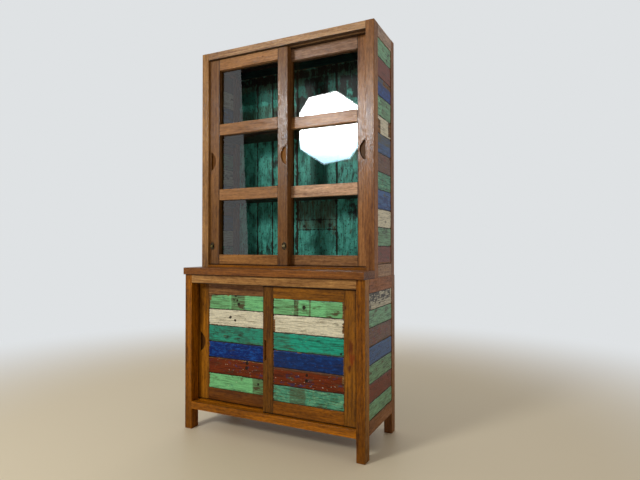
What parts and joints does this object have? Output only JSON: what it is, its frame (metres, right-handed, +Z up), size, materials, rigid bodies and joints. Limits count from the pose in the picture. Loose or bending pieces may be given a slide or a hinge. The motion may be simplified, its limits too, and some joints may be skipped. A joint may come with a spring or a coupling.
{
  "type": "mizuya kitchen cabinet",
  "caption": "Two-stage mizuya kitchen cabinet: glazed upper case with sliding doors on a lower case with sliding doors of painted planks, standing on short square legs.",
  "frame": {"origin": "on the floor, under the middle of the bounding box", "axes": "+X to the viewer's right, the doors face -Y, +Z up"},
  "size_m": [0.9, 0.408, 1.8],
  "materials": {
    "oiled_hardwood": "oiled reddish-brown hardwood, semi-gloss",
    "painted_plank": "reclaimed planks in worn boat paint",
    "teal_board": "weathered teal-green paint",
    "plain_board": "oiled board",
    "clear_glass": "clear float glass",
    "dark_plate": "dark bronzed",
    "lock_metal": "worn bright",
    "screw_steel": "plain steel"
  },
  "bodies": {
    "cabinet": {"case_dowels": "oiled_hardwood", "counter_strip": "oiled_hardwood", "counter_strip_screws": "screw_steel", "jamb_strips": "oiled_hardwood", "lower_back_boards": "teal_board", "lower_back_left_post": "oiled_hardwood", "lower_back_rails": "oiled_hardwood", "lower_back_right_post": "oiled_hardwood", "lower_floor_board": "plain_board", "lower_front_left_post": "oiled_hardwood", "lower_front_right_post": "oiled_hardwood", "lower_head": "oiled_hardwood", "lower_left_side_planks": "painted_plank", "lower_left_side_rails": "oiled_hardwood", "lower_right_side_planks": "painted_plank", "lower_right_side_rails": "oiled_hardwood", "lower_shelf": "plain_board", "lower_shelf_cleats": "plain_board", "lower_sill": "oiled_hardwood", "lower_top_board": "plain_board", "upper_back_boards": "teal_board", "upper_back_left_post": "oiled_hardwood", "upper_back_rails": "oiled_hardwood", "upper_back_right_post": "oiled_hardwood", "upper_floor_board": "plain_board", "upper_front_left_post": "oiled_hardwood", "upper_front_right_post": "oiled_hardwood", "upper_head": "oiled_hardwood", "upper_left_side_planks": "painted_plank", "upper_left_side_rails": "oiled_hardwood", "upper_right_side_planks": "painted_plank", "upper_right_side_rails": "oiled_hardwood", "upper_shelf_cleats": "plain_board", "upper_shelves": "plain_board", "upper_sill": "oiled_hardwood", "upper_top_board": "plain_board"},
    "glass_left_door": {"glass_left_door_end_rails": "oiled_hardwood", "glass_left_door_glazing_beads": "oiled_hardwood", "glass_left_door_meeting_stile": "oiled_hardwood", "glass_left_door_middle_rails": "oiled_hardwood", "glass_left_door_outer_stile": "oiled_hardwood", "glass_left_door_panes": "clear_glass", "lock_plates": "dark_plate"},
    "glass_right_door": {"glass_right_door_end_rails": "oiled_hardwood", "glass_right_door_glazing_beads": "oiled_hardwood", "glass_right_door_meeting_stile": "oiled_hardwood", "glass_right_door_middle_rails": "oiled_hardwood", "glass_right_door_outer_stile": "oiled_hardwood", "glass_right_door_panes": "clear_glass", "meeting_lock_socket": "lock_metal"},
    "plank_left_door": {"plank_left_door_meeting_stile": "oiled_hardwood", "plank_left_door_outer_stile": "oiled_hardwood", "plank_left_door_planks": "painted_plank", "plank_left_door_rails": "oiled_hardwood"},
    "plank_right_door": {"plank_right_door_meeting_stile": "oiled_hardwood", "plank_right_door_outer_stile": "oiled_hardwood", "plank_right_door_planks": "painted_plank", "plank_right_door_rails": "oiled_hardwood"},
    "outer_lock": {"outer_lock_screw": "lock_metal"},
    "meeting_lock": {"meeting_lock_screw": "lock_metal"}
  },
  "joints": [
    {"name": "glass_left_slide", "type": "slide", "parent": "cabinet", "child": "glass_left_door", "axis": [1, 0, 0], "range_m": [0, 0.3815]},
    {"name": "glass_right_slide", "type": "slide", "parent": "cabinet", "child": "glass_right_door", "axis": [-1, 0, 0], "range_m": [0, 0.3815]},
    {"name": "plank_left_slide", "type": "slide", "parent": "cabinet", "child": "plank_left_door", "axis": [1, 0, 0], "range_m": [0, 0.3835]},
    {"name": "plank_right_slide", "type": "slide", "parent": "cabinet", "child": "plank_right_door", "axis": [-1, 0, 0], "range_m": [0, 0.3835]},
    {"name": "outer_lock_turn", "type": "hinge", "parent": "glass_left_door", "child": "outer_lock", "pos_m": [-0.3935, -0.061, 0.853], "axis": [0, -1, 0], "range_deg": [0, 1890]},
    {"name": "meeting_lock_turn", "type": "hinge", "parent": "glass_left_door", "child": "meeting_lock", "pos_m": [0.012, -0.061, 0.853], "axis": [0, -1, 0], "range_deg": [0, 1890]}
  ]
}
